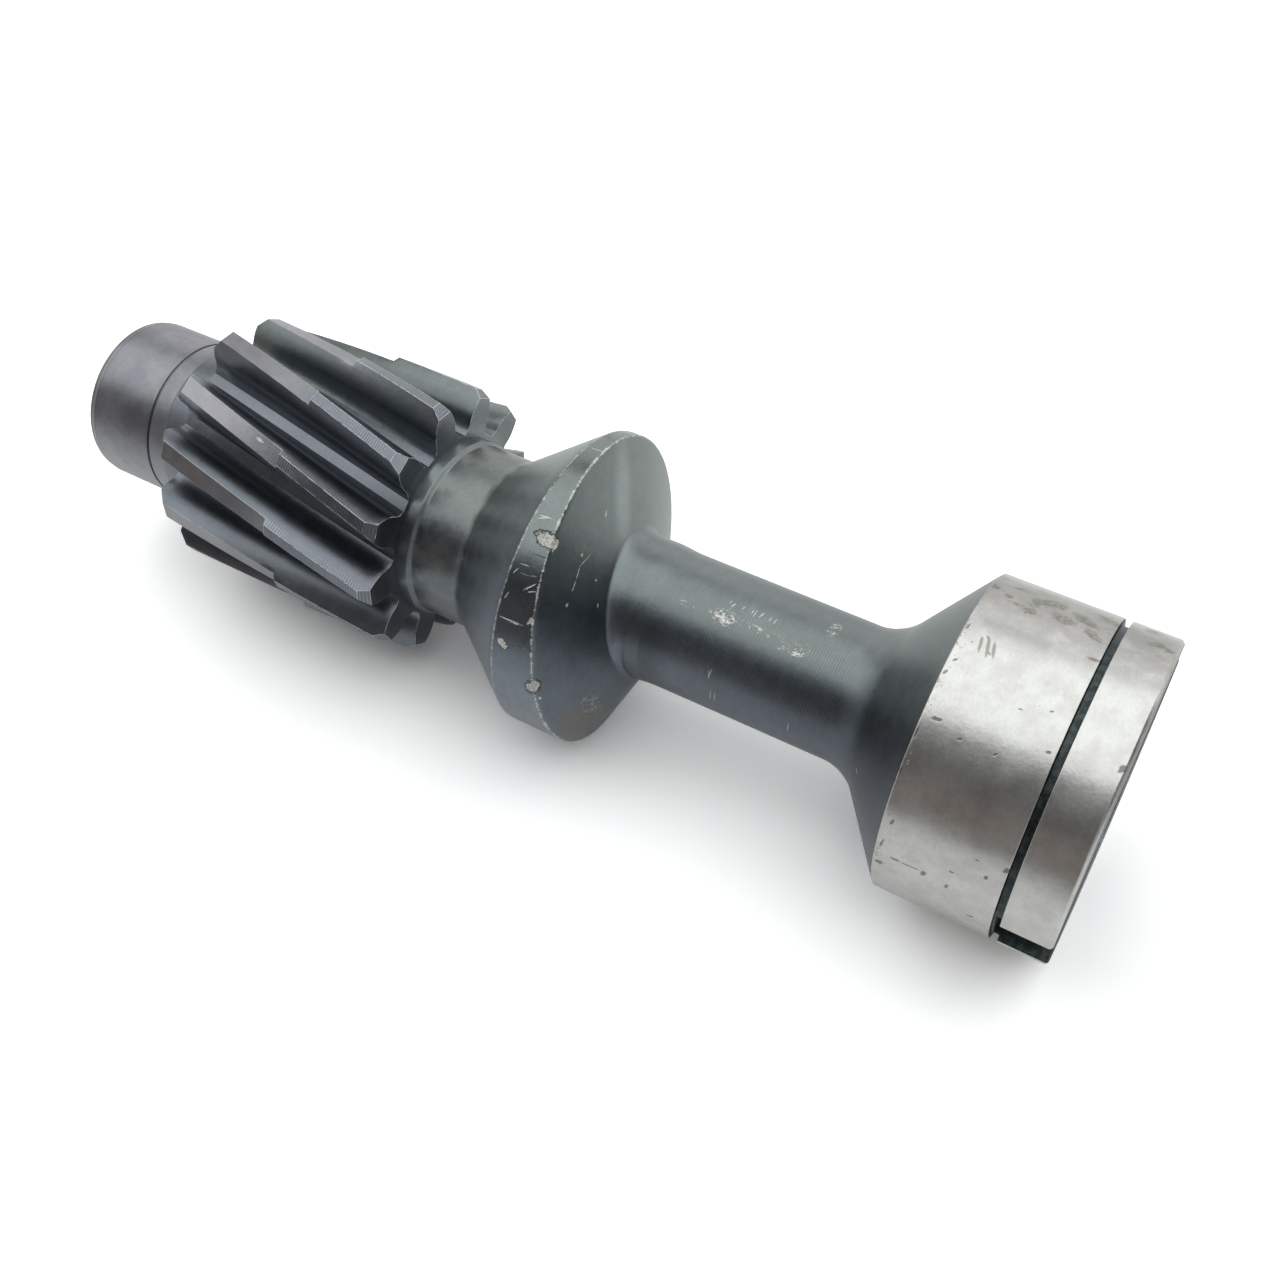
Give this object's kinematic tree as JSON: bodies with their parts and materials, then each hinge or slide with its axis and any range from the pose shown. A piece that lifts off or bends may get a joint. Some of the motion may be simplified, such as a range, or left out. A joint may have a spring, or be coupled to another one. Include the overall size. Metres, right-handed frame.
{
  "type": "distributor drive gear",
  "caption": "One-piece steel shaft with a slotted drive head, an eccentric face cam for a pump, a helical gear and a plain end journal.",
  "frame": {"origin": "centre of the slotted end face of the drive head, on the shaft axis", "axes": "+Z along the shaft axis from the drive head to the plain journal; X along the drive slot, which is offset towards -Y"},
  "size_m": [0.0272, 0.0272, 0.0998],
  "materials": {
    "drive_gear_shaft": "blackened satin steel, with the drive head ground bright"
  },
  "bodies": {
    "root": {"drive_gear_shaft": "drive_gear_shaft"}
  },
  "joints": []
}
